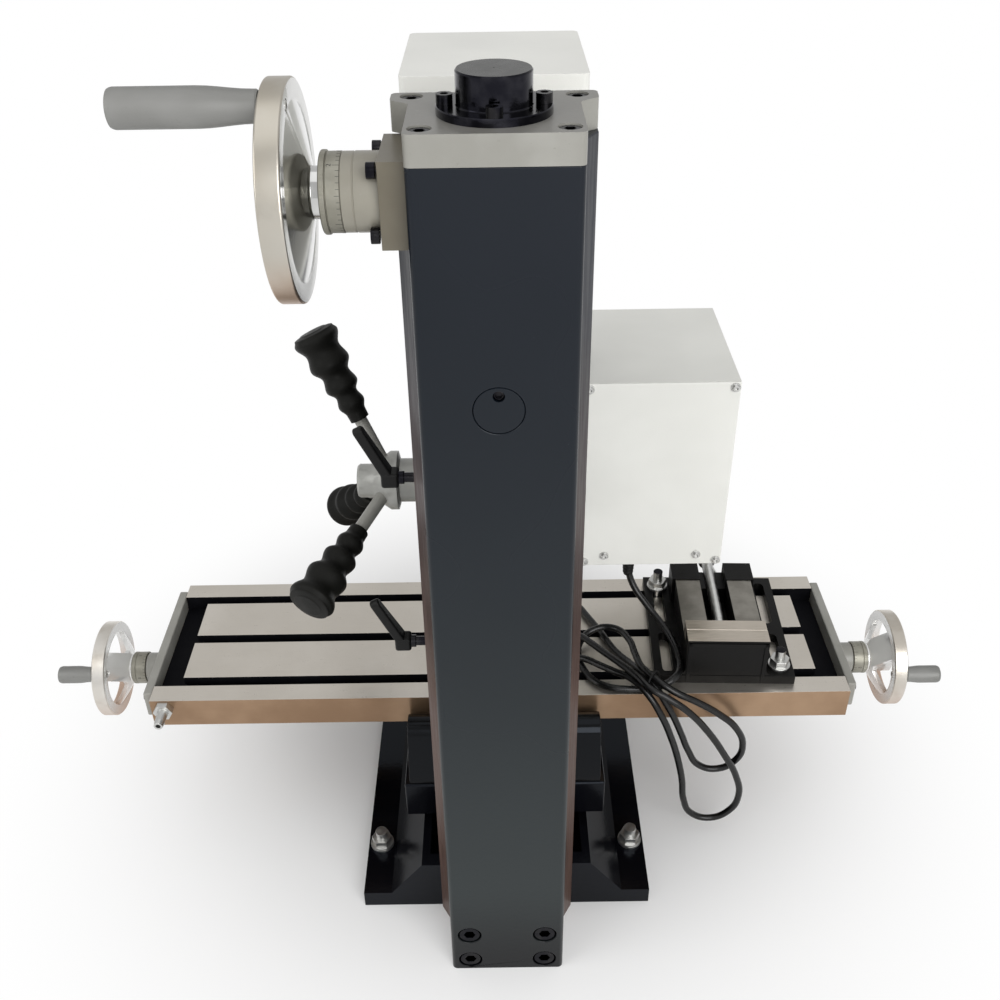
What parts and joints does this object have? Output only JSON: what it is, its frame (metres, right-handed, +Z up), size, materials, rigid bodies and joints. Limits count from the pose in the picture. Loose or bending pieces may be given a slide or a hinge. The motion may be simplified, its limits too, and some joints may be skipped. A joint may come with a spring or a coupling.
{
  "type": "benchtop milling machine",
  "caption": "Benchtop milling machine: dovetail column with sliding head, compound table with handwheels, feed arms, drill vise, electrical box and power cord.",
  "frame": {"origin": "middle of the base's underside, where the machine stands on its bench", "axes": "+X along the table to the operator's right, +Y from the operator to the column, +Z up the column"},
  "size_m": [0.9212, 0.6541, 0.814],
  "materials": {
    "dark_paint": "semi-gloss blue-grey enamel over cast iron",
    "black_paint": "gloss blue-black enamel over cast iron",
    "grey_paint": "satin light grey enamel",
    "cover_paint": "fine-textured off-white powder coat",
    "ground_steel": "surface ground along its length",
    "steel": "turned and ground",
    "zinc": "bright zinc plate",
    "aluminium": "polished and turned",
    "dial_metal": "satin chrome with engraved graduations",
    "grip_grey": "satin anodised",
    "black_oxide": "black oxide, lightly oiled",
    "vise_iron": "black painted, rough cast, with ground jaws",
    "bronze": "machined",
    "black_rubber": "matt, moulded",
    "black_plastic": "moulded, fine texture",
    "red_plastic": "moulded",
    "cord_black": "smooth sheath"
  },
  "bodies": {
    "frame": {"base": "black_paint", "base_studs": "zinc", "column": "dark_paint", "column_bolts": "black_oxide", "column_cap": "grey_paint", "cap_screws": "black_oxide", "screw_cover": "black_oxide", "cover_screws": "black_oxide", "access_plug": "dark_paint", "z_bearing_block": "grey_paint", "y_bearing_plate": "black_paint"},
    "z_wheel": {"z_shaft": "steel", "z_dial": "dial_metal", "z_handwheel": "aluminium"},
    "z_grip": {"z_handle": "grip_grey"},
    "z_screw": {"z_leadscrew": "steel", "z_bevel_gear": "steel"},
    "head": {"head_slide": "black_paint", "z_nut": "bronze", "head_casting": "dark_paint", "motor_cover": "cover_paint", "motor": "black_paint", "drive_belt": "black_rubber", "control_box": "cover_paint", "box_cover": "cover_paint", "box_screws": "zinc", "cord_gland": "black_plastic"},
    "quill": {"quill": "steel", "spindle_bearings": "steel"},
    "spindle": {"spindle": "steel"},
    "spindle_drive": {"spindle_pulley": "steel"},
    "motor_drive": {"motor_pulley": "steel"},
    "feed": {"feed_hub": "grey_paint", "feed_arms": "grey_paint", "feed_grips": "black_rubber"},
    "upper_lock": {"lock_lever_upper": "black_plastic"},
    "lower_lock": {"lock_lever_lower": "black_plastic"},
    "stop": {"stop_button": "red_plastic"},
    "speed": {"speed_knob": "black_plastic"},
    "y_wheel": {"y_leadscrew": "steel", "y_dial": "dial_metal", "y_handwheel": "aluminium"},
    "y_grip": {"y_handle": "grip_grey"},
    "saddle": {"saddle": "black_paint", "feed_nuts": "bronze", "way_guard": "black_rubber"},
    "table": {"table": "ground_steel", "end_plates": "grey_paint", "drain_spigot": "zinc", "vise_body": "vise_iron", "vise_bolts": "zinc", "power_cord": "cord_black", "power_plug": "black_plastic"},
    "x_wheel": {"x_leadscrew": "steel", "x_dials": "dial_metal", "x_handwheels": "aluminium"},
    "x_grip_right": {"x_handle_right": "grip_grey"},
    "x_grip_left": {"x_handle_left": "grip_grey"},
    "vise_jaw": {"vise_jaw": "vise_iron"},
    "vise_screw": {"vise_screw": "zinc"}
  },
  "joints": [
    {"name": "column_handwheel", "type": "hinge", "parent": "frame", "child": "z_wheel", "pos_m": [0, 0.252, 0.742], "axis": [1, 0, 0], "range_deg": [-2259, 13509]},
    {"name": "column_handwheel_grip", "type": "hinge", "parent": "z_wheel", "child": "z_grip", "pos_m": [0.18, 0.26701, 0.79802], "axis": [1, 0, 0], "continuous": true},
    {"name": "column_screw_turn", "type": "hinge", "parent": "frame", "child": "z_screw", "pos_m": [0, 0.252, 0.4], "axis": [0, 0, 1], "range_deg": [-2259, 13509]},
    {"name": "head_lift", "type": "slide", "parent": "frame", "child": "head", "axis": [0, 0, 1], "range_m": [-0.025, 0.15], "deforming": ["power_cord"]},
    {"name": "quill_feed", "type": "slide", "parent": "head", "child": "quill", "axis": [0, 0, -1], "range_m": [0, 0.0501]},
    {"name": "feed_turn", "type": "hinge", "parent": "head", "child": "feed", "pos_m": [0.077, 0.072, 0.413], "axis": [1, 0, 0], "range_deg": [0, 190.99], "stiffness_Nm_per_rad": 0.3, "springref_deg": -171.89},
    {"name": "spindle_spin", "type": "hinge", "parent": "quill", "child": "spindle", "pos_m": [0, 0.027, 0.4], "axis": [0, 0, 1], "continuous": true},
    {"name": "spindle_pulley_spin", "type": "hinge", "parent": "head", "child": "spindle_drive", "pos_m": [0, 0.027, 0.58], "axis": [0, 0, 1], "continuous": true},
    {"name": "motor_spin", "type": "hinge", "parent": "head", "child": "motor_drive", "pos_m": [0, 0.074, 0.58], "axis": [0, 0, 1], "continuous": true},
    {"name": "upper_lock_turn", "type": "hinge", "parent": "head", "child": "upper_lock", "pos_m": [0.076, 0.196, 0.496], "axis": [1, 0, 0], "range_deg": [-60, 60]},
    {"name": "lower_lock_turn", "type": "hinge", "parent": "head", "child": "lower_lock", "pos_m": [0.076, 0.196, 0.327], "axis": [1, 0, 0], "range_deg": [-60, 60]},
    {"name": "stop_press", "type": "slide", "parent": "head", "child": "stop", "axis": [0, 1, 0], "range_m": [0, 0.004], "stiffness_N_per_m": 400, "springref_m": -0.002},
    {"name": "speed_turn", "type": "hinge", "parent": "head", "child": "speed", "pos_m": [-0.1765, -0.115, 0.442], "axis": [0, -1, 0], "range_deg": [0, 270]},
    {"name": "cross_handwheel", "type": "hinge", "parent": "frame", "child": "y_wheel", "pos_m": [0, -0.26, 0.064], "axis": [0, -1, 0], "range_deg": [-1692, 16212]},
    {"name": "cross_handwheel_grip", "type": "hinge", "parent": "y_wheel", "child": "y_grip", "pos_m": [-0.02075, -0.32, 0.09994], "axis": [0, -1, 0], "continuous": true},
    {"name": "saddle_travel", "type": "slide", "parent": "frame", "child": "saddle", "axis": [0, -1, 0], "range_m": [-0.014, 0.135]},
    {"name": "table_travel", "type": "slide", "parent": "saddle", "child": "table", "axis": [1, 0, 0], "range_m": [-0.22, 0.22]},
    {"name": "table_handwheel", "type": "hinge", "parent": "table", "child": "x_wheel", "pos_m": [0.004, 0.027, 0.146], "axis": [1, 0, 0], "range_deg": [-26412, 26412]},
    {"name": "right_grip", "type": "hinge", "parent": "x_wheel", "child": "x_grip_right", "pos_m": [0.459, 0.06161, 0.1689], "axis": [1, 0, 0], "continuous": true},
    {"name": "left_grip", "type": "hinge", "parent": "x_wheel", "child": "x_grip_left", "pos_m": [-0.451, 0.06699, 0.15709], "axis": [1, 0, 0], "continuous": true},
    {"name": "jaw_travel", "type": "slide", "parent": "table", "child": "vise_jaw", "axis": [-0.0384, -0.9993, 0], "range_m": [0, 0.062]},
    {"name": "vise_screw_turn", "type": "hinge", "parent": "vise_jaw", "child": "vise_screw", "pos_m": [-0.225, 0.0306, 0.213], "axis": [-0.0384, -0.9993, 0], "range_deg": [0, 11178]}
  ],
  "couplings": [
    {"joint": "column_handwheel", "follows": "head_lift", "rad_per_m": 1570.8},
    {"joint": "column_screw_turn", "follows": "head_lift", "rad_per_m": 1570.8},
    {"joint": "quill_feed", "follows": "feed_turn", "m_per_rad": 0.015},
    {"joint": "spindle_pulley_spin", "follows": "spindle_spin", "ratio": 1},
    {"joint": "motor_spin", "follows": "spindle_spin", "ratio": 2},
    {"joint": "cross_handwheel", "follows": "saddle_travel", "rad_per_m": 2094.4},
    {"joint": "table_handwheel", "follows": "table_travel", "rad_per_m": 2094.4},
    {"joint": "vise_screw_turn", "follows": "jaw_travel", "rad_per_m": 3141.6}
  ]
}
